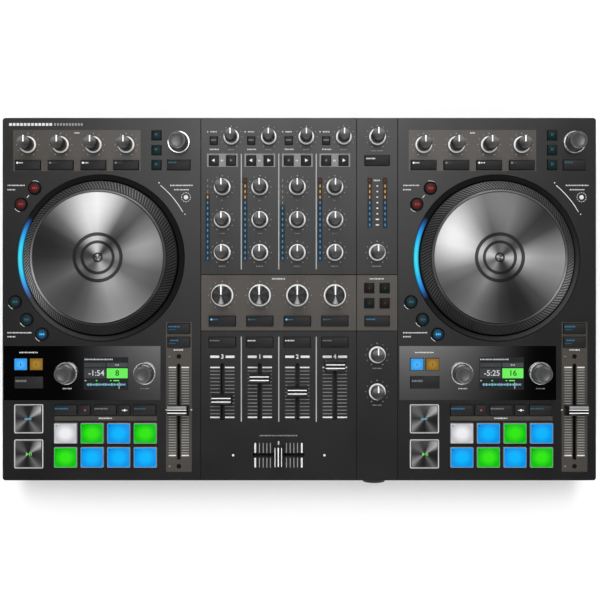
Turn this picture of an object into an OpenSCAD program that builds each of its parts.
// Two-deck DJ controller with a four-channel mixer, in millimetres.
// +X is to the user's right, +Y points to the rear edge with the sockets, +Z is up.
// The origin is the middle of the footprint, on the surface that the feet stand on.

/* [Case] */
// Width of the case, left to right
case_w = 600; // [600:1:620]
// Depth of the case, front edge to rear edge
case_d = 366.5; // [366:0.5:380]
// Height of the top panel's upper face above the table
panel_z = 61; // [56:1:75]
// Thickness of the top panel
panel_t = 3; // [2.5:0.5:4]
// Thickness of the bottom case's floor and walls
wall = 3; // [2:0.5:4]
// Height of the rubber feet
foot_h = 5; // [3:0.5:8]
// Radius of the case's four upright corners
corner_r = 3; // [1:0.5:3]
// Chamfer along the bottom case's lower edge
lower_chamfer = 5; // [2:0.5:6]

/* [Decks] */
// Distance between the middles of the two decks
deck_pitch = 400; // [399:0.5:401]
// Outer radius of the jog wheel's rubber grip
jog_r = 77.5; // [74:0.5:78]
// Radius of the jog wheel's metal platter
platter_r = 65.4; // [60:0.2:68]
// Height of the platter above the top panel
platter_h = 15; // [12:0.5:18]
// Outer radius of the light ring around the jog wheel
light_ring_r = 84.3; // [83:0.1:84.5]
// Width and depth of a performance pad
pad_size = [23.4, 20.7]; // [15:0.1:25]
// Distance between neighbouring pads
pad_pitch = [26.8, 24.3]; // [24:0.1:28]

/* [Mixer] */
// Distance between neighbouring channels
channel_pitch = 37.9; // [37.5:0.1:38.2]
// Travel of a channel's volume fader
volume_travel = 52.8; // [45:0.1:53]
// Travel of the crossfader
cross_travel = 47.8; // [40:0.1:48]
// Travel of a tempo fader
tempo_travel = 92.5; // [60:0.5:94]

/* [Controls] */
// Height of a knob above the top panel
knob_h = 17; // [12:0.5:20]
// Height of a fader cap above the top panel
fader_h = 16; // [12:0.5:18]
// Height of a button's face above the top panel
button_h = 1.8; // [1.4:0.1:3]
// Height of a pad's face above the top panel
pad_h = 2.4; // [1.6:0.1:3.5]
// Gap between a button and the edge of its hole
button_gap = 0.45; // [0.4:0.05:0.6]

/* [Hidden] */
$fn = 64;

// Levels, from the top panel down
panel_under = panel_z - panel_t;
board_top = panel_under - 14;
board_t = 1.6;
board_under = board_top - board_t;
part_gap = 0.3;
wall_in_y = case_d / 2 - wall;

// Deck layout, measured from the middle of a deck
fx_y = 156.1;
fx_pitch = 33.1;
fx_x = [for (i = [0:3]) -24.7 + (i - 1.5) * fx_pitch];
strip_x = 78.2;
jog_at = [-0.5, 41.5];
window_size = [158.4, 54.6];
window_at = [-19.6, -74.8];
window_t = 1.5;
tempo_mid_y = -113.85;
tempo_rest_y = -112;
display_knobs = [[-35.6, -75], [43.8, -75]];
browse_knob = [[strip_x, 158.6]];
deck_encoders = concat(browse_knob, display_knobs);
window_buttons = [[-81.2, -65.8, 13, 11.8], [-65.5, -65.8, 13, 11.8], [-73.1, -84.2, 28.8, 11.7]];
transport_buttons = [for (y = [-121, -156.5]) [-73.5, y, 26.6, 26.6]];
mode_y = -112.2;
mode_buttons = concat([for (x = [-36, 3.9, 43.8]) [x, mode_y, 22.5, 10]],
                      [for (x = [-16.9, 23.2]) [x, mode_y, 11.4, 10]]);
panel_buttons = concat([for (x = fx_x) [x, 135.4, 25.5, 9.5]],
                       [for (i = [0:2]) [55.6, 135.6 + 15 * i, 9.5, 9.5]],
                       [[strip_x, 135.6, 23, 10]],
                       [for (y = [-29.6, -43.5]) [strip_x, y, 22.5, 10.2]],
                       transport_buttons,
                       mode_buttons);
deck_buttons = concat(panel_buttons, window_buttons);
ring_angles = [133.5, 146.1, 207.1, 219.7, 232.3];
ring_button_r = 5.4;
ring_buttons = [for (a = ring_angles) jog_at + 97.3 * [cos(a), sin(a)]];
pads = [for (i = [0:3], j = [0:1]) [4.3 + (i - 1.5) * pad_pitch[0], -135.5 - j * pad_pitch[1],
                                    pad_size[0], pad_size[1]]];

// Mixer layout, measured from the middle of the case
channel_x = [for (i = [0:3]) -77.8 + i * channel_pitch];
right_x = 78.7;
eq_y = [113.4, 80.3, 47.2];
mixer_fx_y = 3.9;
volume_mid_y = -93.6;
volume_rest_y = [-100.6, -79.2, -92.6, -67.2];
cross_at = [-20.9, -157.4];
gain_knobs = [for (x = channel_x) [x + 9.05, 164.1]];
eq_knobs = [for (y = eq_y, x = channel_x) [x, y]];
mixer_fx_knobs = [for (x = channel_x) [x, mixer_fx_y]];
right_knobs = [[79, 164.1], [right_x, 47.2], [right_x, -56.2], [right_x, -93.6]];
mixer_knobs = concat(gain_knobs, eq_knobs, mixer_fx_knobs, right_knobs);
mixer_buttons = concat([for (x = channel_x) [x - 8.7, 160.3, 7.5, 8]],
                       [for (x = channel_x, dx = [-8.7, 8.8]) [x + dx, 140.1, 9.5, 10]],
                       [for (x = channel_x, y = [-22.2, -43.5]) [x, y, 27, 10]],
                       [for (x = [70.7, 86.3], y = [11.1, -4.2]) [x, y, 9.5, 9.5]],
                       [for (y = [140.1, -22.2]) [right_x, y, 25, 10]]);

// Knob and encoder sizes: radius of the base, of the body and of the top
gain_size = [7.8, 6.9, 6.5];
eq_size = [8.4, 7.5, 7.1];
mixer_fx_size = [11.2, 10.2, 9.8];
encoder_size = [11.3, 9.2, 8.8];
stem_r = 3;
stem_depth = 9;
knob_hole_r = 4;
control_lift = 0.8;

// Fader caps and their levers
cap_len = 21.1;
cap_w = 11.4;
lever = [1.8, 3.4];
slot_w = 3.4;
slot_gap = 0.5;

// Buttons under the top panel
press_travel = 1.2;
flange_w = 1;
flange_t = 1.5;
flange_top = panel_under - part_gap;
switch_h = 1.5;
plunger_low = board_top + switch_h + press_travel + part_gap;

// Jog wheel and its base
jog_skirt_z = panel_z - 4;
web_z = panel_z + 9;
shaft_r = 4;
bearing_r = 4.06;
base_floor_z = board_top;

// Screws, feet and sockets
bay_w = 400;
screw_y = case_d / 2 - 8;
screw_at = concat([for (x = [-1, 1], y = [-1, 1]) [x * (case_w / 2 - 8.5), y * screw_y]],
                  [for (x = [-1, 1]) [x * 104, -screw_y]],
                  [for (x = [-1, 1]) [x * (bay_w / 2 + 15), screw_y]]);
boss_len = 5;
tower_top = panel_under - boss_len;
screw_head_z = tower_top - 12;
foot_at = [for (x = [-255, 255], y = [-150, 150]) [x, y]];
post_at = concat([for (x = [-284, -112, 112, 284], y = [-165, 165]) [x, y]],
                 [for (x = [-90, 60], y = [-165, 0, 140]) [x, y]]);
bay_low = foot_h + 9;
bay_face_y = case_d / 2 - 6;
socket_low = bay_low + 3.2;
socket_top = panel_under - 0.2;
body_top = board_under - 2;
jack_z = 29;
jack_r = 3.2;
jack_depth = 27;
rca_z = [27, 43];
phones_x = 77.2;
phones_z = 36;
phones_boss = 2.5;

// Places its children at each point of a list
module at(points) {
    for (p = points) translate([p[0], p[1], 0]) children();
}

// Places its children on both decks, left and right
module on_decks() {
    for (side = [-1, 1]) translate([side * deck_pitch / 2, 0, 0]) children();
}

// Rectangle with round corners, centred
module rounded_rect(w, d, r) {
    square([w - 2 * r, d], center = true);
    square([w, d - 2 * r], center = true);
    for (x = [-1, 1], y = [-1, 1]) translate([x * (w / 2 - r), y * (d / 2 - r)]) circle(r);
}

// Tube between two levels
module ring(outer, inner, low, high) {
    translate([0, 0, low]) difference() {
        cylinder(h = high - low, r = outer);
        translate([0, 0, -1]) cylinder(h = high - low + 2, r = inner);
    }
}

// Solid box given by its low and high corners
module box(low, high) {
    translate(low) cube(high - low);
}

// Openings of one deck in the top panel, as a flat outline
module deck_openings() {
    translate(jog_at) circle(light_ring_r + 0.4);
    at([for (x = fx_x) [x, fx_y]]) circle(knob_hole_r);
    at(deck_encoders) circle(knob_hole_r);
    at(ring_buttons) circle(ring_button_r + button_gap);
    for (b = concat(deck_buttons, pads)) translate([b[0], b[1]])
        square([b[2] + 2 * button_gap, b[3] + 2 * button_gap], center = true);
    translate([strip_x, tempo_mid_y]) slot(tempo_travel);
}

// Openings of the mixer in the top panel, as a flat outline
module mixer_openings() {
    at(mixer_knobs) circle(knob_hole_r);
    for (b = mixer_buttons) translate([b[0], b[1]])
        square([b[2] + 2 * button_gap, b[3] + 2 * button_gap], center = true);
    for (x = channel_x) translate([x, volume_mid_y]) slot(volume_travel);
    translate(cross_at) rotate(90) slot(cross_travel);
}

// Slot for a fader's lever, running along Y
module slot(travel) {
    square([slot_w, travel + lever[1] + 2 * slot_gap], center = true);
}

// Joint lines pressed into the top panel between its deck, mixer and effect areas
module panel_grooves() {
    for (x = [-99.6, 57.9, 99.5])
        box([x - 0.4, -case_d / 2 - 1, panel_z - 0.6], [x + 0.4, case_d / 2 + 1, panel_z + 1]);
    for (y = [24.7, -32.2])
        box([-99.6, y - 0.4, panel_z - 0.6], [99.5, y + 0.4, panel_z + 1]);
}

// Flat aluminium top with every opening, the window recesses and the screw bosses below it
module top_panel() {
    color("#45464a") {
        difference() {
            translate([0, 0, panel_under]) linear_extrude(panel_t) difference() {
                rounded_rect(case_w, case_d, corner_r);
                on_decks() deck_openings();
                mixer_openings();
            }
            on_decks() translate([window_at[0], window_at[1], panel_z - window_t])
                linear_extrude(window_t + 1)
                    square(window_size + [part_gap, part_gap], center = true);
            panel_grooves();
        }
        at(screw_at) ring(4.5, 1.6, tower_top, panel_under);
    }
}

// Outer block of the bottom case, with a chamfer all round its lower edge
module case_block() {
    intersection() {
        translate([0, 0, foot_h]) linear_extrude(panel_under - foot_h)
            rounded_rect(case_w, case_d, corner_r);
        rotate([90, 0, 0]) linear_extrude(2 * case_d, center = true) chamfer_profile(case_w);
        rotate([90, 0, 90]) linear_extrude(2 * case_w, center = true) chamfer_profile(case_d);
    }
}

// Upright section of the case block: width across, height up
module chamfer_profile(w) {
    half = w / 2;
    low = foot_h;
    polygon([[-half + lower_chamfer, low], [half - lower_chamfer, low], [half, low + lower_chamfer],
             [half, panel_z], [-half, panel_z], [-half, low + lower_chamfer]]);
}

// Moulded tray: floor, walls, screw towers, board posts and the recessed socket bay at the rear
module bottom_case() {
    floor_z = foot_h + wall;
    color("#26272a") difference() {
        union() {
            difference() {
                case_block();
                translate([0, 0, floor_z]) linear_extrude(panel_z)
                    rounded_rect(case_w - 2 * wall, case_d - 2 * wall, corner_r / 2);
            }
            intersection() {
                case_block();
                box([-bay_w / 2 - 5, bay_face_y - 4, foot_h], [bay_w / 2 + 5, case_d, panel_z]);
            }
            at(screw_at) translate([0, 0, floor_z - 1]) cylinder(h = tower_top - floor_z + 1, r = 4.5);
            at(post_at) translate([0, 0, floor_z - 1]) cylinder(h = board_under - floor_z + 1, r = 3.5);
            at(foot_at) translate([0, 0, floor_z - 1]) cylinder(h = 5, r = 6);
        }
        // Socket bay: an outer recess, and the way in for the sockets from above
        box([-bay_w / 2, bay_face_y, bay_low], [bay_w / 2, case_d, panel_z]);
        box([-bay_w / 2 + 3, bay_face_y - 10, bay_low + 3], [bay_w / 2 - 3, case_d, panel_z]);
        // Notch for the headphone socket in the front wall, open at the top
        box([phones_x - 8, -case_d, phones_z - 11], [phones_x + 8, -wall_in_y + 1, panel_z]);
        at(screw_at) translate([0, 0, foot_h - 1]) cylinder(h = panel_z, r = 1.8);
        at(screw_at) translate([0, 0, foot_h - 1]) cylinder(h = screw_head_z - foot_h + 1, r = 3.4);
        at(foot_at) translate([0, 0, foot_h - 1]) cylinder(h = 7, r = 3.2);
    }
}

// Body of a rotary control on its board, with an open bush for the knob's stem
module pot() {
    difference() {
        translate([0, 0, board_top - 0.2]) cylinder(h = 9.2, r = 6);
        translate([0, 0, board_top + 4]) cylinder(h = 10, r = stem_r + 0.5);
    }
}

// Body of a slide control along Y, with a channel for the fader's lever
module fader_track(travel) {
    len = travel + 12;
    channel = travel + lever[1] + 2;
    difference() {
        box([-5, -len / 2, board_top - 0.2], [5, len / 2, board_top + 9]);
        box([-slot_w / 2, -channel / 2, board_top + 2], [slot_w / 2, channel / 2, board_top + 10]);
    }
}

// Small push switch under each button
module switches(list) {
    at(list) translate([-3, -3, board_top - 0.2]) cube([6, 6, switch_h + 0.2]);
}

// Board of one deck: a frame around the jog base, with its controls
module deck_board() {
    difference() {
        box([-92, -170, board_under], [96, 170, board_top]);
        translate([jog_at[0], jog_at[1], 0]) cylinder(h = panel_z, r = jog_r + 5);
    }
    at([for (x = fx_x) [x, fx_y]]) pot();
    at(deck_encoders) pot();
    switches(concat(deck_buttons, ring_buttons, pads));
    translate([strip_x, tempo_mid_y, 0]) fader_track(tempo_travel);
}

// The two deck boards and the mixer board, each with its parts soldered on
module circuit_boards() {
    color("#1f5a34") {
        on_decks() deck_board();
        box([-98, -170, board_under], [98, 170, board_top]);
        at(mixer_knobs) pot();
        switches(mixer_buttons);
        at([for (x = channel_x) [x, volume_mid_y]]) fader_track(volume_travel);
        translate([cross_at[0], cross_at[1], 0]) rotate(90) fader_track(cross_travel);
    }
}

// Moulded dish under each jog wheel: light ring, wall, floor and bearing tube in one
module jog_bases() {
    color("#101114") on_decks() translate([jog_at[0], jog_at[1], 0]) {
        ring(light_ring_r, jog_r + 1.5, panel_under - 4, panel_z + 0.5);
        ring(86.5, jog_r + 1.5, panel_under - 4, panel_under - part_gap);
        ring(jog_r + 4, jog_r + 1.5, base_floor_z, panel_under - 3);
        ring(jog_r + 4, 6, base_floor_z, base_floor_z + 2);
        ring(9, bearing_r, base_floor_z, base_floor_z + 12);
    }
}

// Metal platter in its grip ring, which carries the web and the shaft
module jog_wheel(side) {
    top = panel_z + platter_h;
    rim = platter_r + part_gap;
    translate([side * deck_pitch / 2 + jog_at[0], jog_at[1], 0]) {
        color("#b9b9b9") rotate_extrude($fn = 128)
            polygon([[0, web_z + 3.6], [platter_r, web_z + 3.6], [platter_r, top - 0.6],
                     [platter_r - 0.6, top], [0, top]]);
        color("#2b2b2d") rotate_extrude($fn = 128)
            polygon([[0, base_floor_z + 2.5], [shaft_r, base_floor_z + 2.5], [shaft_r, web_z],
                     [jog_r - 5, web_z], [jog_r - 5, jog_skirt_z], [jog_r, jog_skirt_z],
                     [jog_r, panel_z + 3], [rim + 1.2, top - 0.8], [rim, top - 0.8],
                     [rim, web_z + 3.4], [0, web_z + 3.4]]);
    }
}

module left_jog_wheel() { jog_wheel(-1); }
module right_jog_wheel() { jog_wheel(1); }

// Gloss black window flush with the top panel, open for its buttons and encoders
module display_windows() {
    color("#08090b") on_decks() translate([0, 0, panel_z - window_t]) linear_extrude(window_t)
        difference() {
            translate(window_at) square(window_size, center = true);
            at(display_knobs) circle(knob_hole_r);
            for (b = window_buttons) translate([b[0], b[1]])
                square([b[2] + 2 * button_gap, b[3] + 2 * button_gap], center = true);
        }
}

// Upright front plate of a rear socket, from x_low to x_high
module socket_plate(x_low, x_high) {
    box([x_low + 0.15, bay_face_y - 4, socket_low], [x_high - 0.15, bay_face_y, socket_top]);
}

// Body behind a socket plate
module socket_body(x_low, x_high, depth) {
    box([x_low, bay_face_y - depth, socket_low], [x_high, bay_face_y - 3, body_top]);
}

// Stereo jack socket for the main and booth outputs
module jack_socket(x) {
    difference() {
        union() {
            socket_plate(x - 14, x + 14);
            socket_body(x - 8, x + 8, jack_depth + 3);
        }
        translate([x, bay_face_y + 1, jack_z]) rotate([90, 0, 0])
            cylinder(h = jack_depth + 1, r = jack_r);
    }
}

// Pair of phono sockets for one stereo input: a plate and two turned collars
module phono_pair(x, w) {
    socket_plate(x - w / 2, x + w / 2);
    for (z = rca_z) translate([x, bay_face_y + 0.1, z]) rotate([-90, 0, 0])
        cylinder(h = case_d / 2 + phones_boss - bay_face_y - 0.1, r = 4.15);
}

// Square data socket
module data_socket(x_low, x_high) {
    mid = (x_low + x_high) / 2;
    difference() {
        union() {
            socket_plate(x_low, x_high);
            socket_body(mid - 7, mid + 7, 17);
        }
        box([mid - 4.3, bay_face_y - 14, jack_z - 4], [mid + 4.3, bay_face_y + 1, jack_z + 4]);
    }
}

// Round power inlet with its centre pin
module power_inlet(x_low, x_high) {
    mid = (x_low + x_high) / 2;
    difference() {
        union() {
            socket_plate(x_low, x_high);
            socket_body(mid - 7, mid + 7, 16);
        }
        translate([mid, bay_face_y + 1, jack_z]) rotate([90, 0, 0]) cylinder(h = 12, r = 2.9);
    }
    translate([mid, bay_face_y - 1, jack_z]) rotate([90, 0, 0]) cylinder(h = 11, r = 1);
}

// Headphone socket in the front wall, with a bevelled boss that stands proud
module phones_socket() {
    face = case_d / 2 + phones_boss;
    translate([phones_x, 0, phones_z]) difference() {
        union() {
            translate([0, -face, 0]) rotate([-90, 0, 0])
                cylinder(h = phones_boss - 0.1, r1 = 8.5, r2 = 11.6);
            translate([0, -face + 1, 0]) rotate([-90, 0, 0]) cylinder(h = 6, r = 7.4);
            box([-7.8, -case_d / 2 + 0.2, -10.8], [7.8, -wall_in_y + 1, socket_top - phones_z]);
            box([-9.5, -wall_in_y + 0.3, -10.5], [9.5, -wall_in_y + 25, body_top - phones_z]);
        }
        translate([0, -face - 1, 0]) rotate([-90, 0, 0]) cylinder(h = jack_depth + 1, r = jack_r);
    }
}

// Every socket: four stereo inputs, four outputs, data, power and headphones
module sockets() {
    bay_left = -bay_w / 2 + 3.2;
    color("#17181a") {
        for (i = [0:3]) phono_pair(bay_left + 23.45 + 46.9 * i, 46.9);
        for (i = [0:3]) jack_socket(bay_left + 187.6 + 14 + 28 * i);
        data_socket(bay_left + 299.6, bay_left + 343.6);
        power_inlet(bay_left + 343.6, bay_left + 393.6);
        phones_socket();
    }
}

// Round foot with a stud pushed up into the floor
module rubber_feet() {
    color("#1a1a1a") at(foot_at) {
        cylinder(h = foot_h, r = 12);
        translate([0, 0, foot_h - 0.5]) cylinder(h = 5, r = 3);
    }
}

// Screws that pull the top panel's bosses down onto the towers
module case_screws() {
    color("#55565a") at(screw_at) {
        translate([0, 0, screw_head_z - 2.2]) cylinder(h = 2.2, r = 3);
        translate([0, 0, screw_head_z - 1]) cylinder(h = 15, r = 1.5);
    }
}

// Turned knob on its stem, with a pointer groove that faces the rear edge at rest
module knob(size) {
    groove = 1.2;
    h = knob_h;
    lift = control_lift;
    translate([0, 0, panel_z]) difference() {
        rotate_extrude() polygon([[0, -stem_depth], [stem_r, -stem_depth], [stem_r, lift],
                                  [size[0], lift], [size[0], lift + 1.2], [size[1], lift + 2],
                                  [size[2], h - 0.8], [size[2] - 0.8, h], [0, h]]);
        box([-groove / 2, 0.8, h - 0.5], [groove / 2, size[0], h + 1]);
    }
}

// Encoder cap on its stem: no pointer, because it has no end stop
module encoder(place) {
    h = knob_h - 2;
    lift = control_lift;
    translate([place[0], place[1], panel_z]) rotate_extrude()
        polygon([[0, -stem_depth], [stem_r, -stem_depth], [stem_r, lift], [encoder_size[0], lift],
                 [encoder_size[0], lift + 1.6], [encoder_size[1], lift + 3],
                 [encoder_size[2], h - 1], [encoder_size[2] - 1, h], [0, h]]);
}

// Fader cap that slides along Y, on a flat lever through the slot
module fader(place) {
    half = cap_w / 2;
    low = 1.2;
    dip = fader_h - 1.1;
    translate([place[0], place[1], panel_z]) {
        rotate([90, 0, 90]) linear_extrude(cap_len, center = true)
            polygon([[-half, low], [half, low], [half - 0.8, 7], [half - 1.9, fader_h],
                     [1.3, dip], [-1.3, dip], [-half + 1.9, fader_h], [-half + 0.8, 7]]);
        box([-lever[0] / 2, -lever[1] / 2, -stem_depth], [lever[0] / 2, lever[1] / 2, low + 1]);
    }
}

// Button: a cap through the panel, a flange that stops it coming out, and a plunger
module button(w, d, r, h) {
    translate([0, 0, flange_top - flange_t]) linear_extrude(panel_z + h - flange_top + flange_t)
        rounded_rect(w, d, r);
    translate([0, 0, flange_top - flange_t]) linear_extrude(flange_t)
        square([w + 2 * flange_w, d + 2 * flange_w], center = true);
    plunger();
}

// Post between a button and the switch below it
module plunger() {
    translate([0, 0, plunger_low]) cylinder(h = flange_top - plunger_low - 0.5, r = 1.4);
}

// All push buttons of one deck: rectangular ones, and round ones beside the jog wheel
module deck_button_bank(side) {
    translate([side * deck_pitch / 2, 0, 0]) {
        for (b = deck_buttons) translate([b[0], b[1], 0]) button(b[2], b[3], 0.8, button_h);
        at(ring_buttons) {
            translate([0, 0, flange_top - flange_t])
                cylinder(h = panel_z + button_h - flange_top + flange_t, r = ring_button_r);
            translate([0, 0, flange_top - flange_t]) cylinder(h = flange_t, r = ring_button_r + flange_w);
            plunger();
        }
    }
}

// The eight soft performance pads of one deck
module pad_bank(side) {
    translate([side * deck_pitch / 2, 0, 0])
        for (p = pads) translate([p[0], p[1], 0]) button(p[2], p[3], 1.5, pad_h);
}

module mixer_buttons() {
    color("#2a2b2d") for (b = mixer_buttons) translate([b[0], b[1], 0])
        button(b[2], b[3], 0.8, button_h);
}

module left_deck_buttons() { color("#2a2b2d") deck_button_bank(-1); }
module right_deck_buttons() { color("#2a2b2d") deck_button_bank(1); }
module left_pads() { color("#1e8fe0") pad_bank(-1); }
module right_pads() { color("#35c22a") pad_bank(1); }

module volume_fader(i) {
    color("#2a2a2c") fader([channel_x[i], volume_rest_y[i]]);
}
module tempo_fader(side) {
    color("#3a3a3c") fader([side * deck_pitch / 2 + strip_x, tempo_rest_y]);
}
module crossfader() {
    color("#2a2a2c") translate([cross_at[0], cross_at[1], 0]) rotate(90) fader([0, 0]);
}

module deck_encoder(side, i) {
    color("#303134") translate([side * deck_pitch / 2, 0, 0]) encoder(deck_encoders[i]);
}
module turned_knob(place, size) {
    color("#303134") translate([place[0], place[1], 0]) knob(size);
}
module fx_knob(side, i) {
    turned_knob([side * deck_pitch / 2 + fx_x[i], fx_y], eq_size);
}

top_panel();
bottom_case();
circuit_boards();
jog_bases();
display_windows();
sockets();
rubber_feet();
case_screws();
left_jog_wheel();
right_jog_wheel();
crossfader();
tempo_fader(-1);  // left_tempo_fader
tempo_fader(1);  // right_tempo_fader
left_pads();
right_pads();
left_deck_buttons();
right_deck_buttons();
mixer_buttons();
deck_encoder(-1, 0);  // left_browse_encoder
deck_encoder(1, 0);  // right_browse_encoder
for (i = [1:2]) {
    deck_encoder(-1, i);
    deck_encoder(1, i);
}
for (i = [1:4]) {
    volume_fader(i - 1);
    fx_knob(-1, i - 1);
    fx_knob(1, i - 1);
    turned_knob(gain_knobs[i - 1], gain_size);
    turned_knob(eq_knobs[i - 1], eq_size);
    turned_knob(eq_knobs[i + 3], eq_size);
    turned_knob(eq_knobs[i + 7], eq_size);
    turned_knob(mixer_fx_knobs[i - 1], mixer_fx_size);
}
turned_knob(right_knobs[0], eq_size);  // master_knob
turned_knob(right_knobs[1], eq_size);  // booth_knob
turned_knob(right_knobs[2], eq_size);  // cue_mix_knob
turned_knob(right_knobs[3], eq_size);  // cue_volume_knob
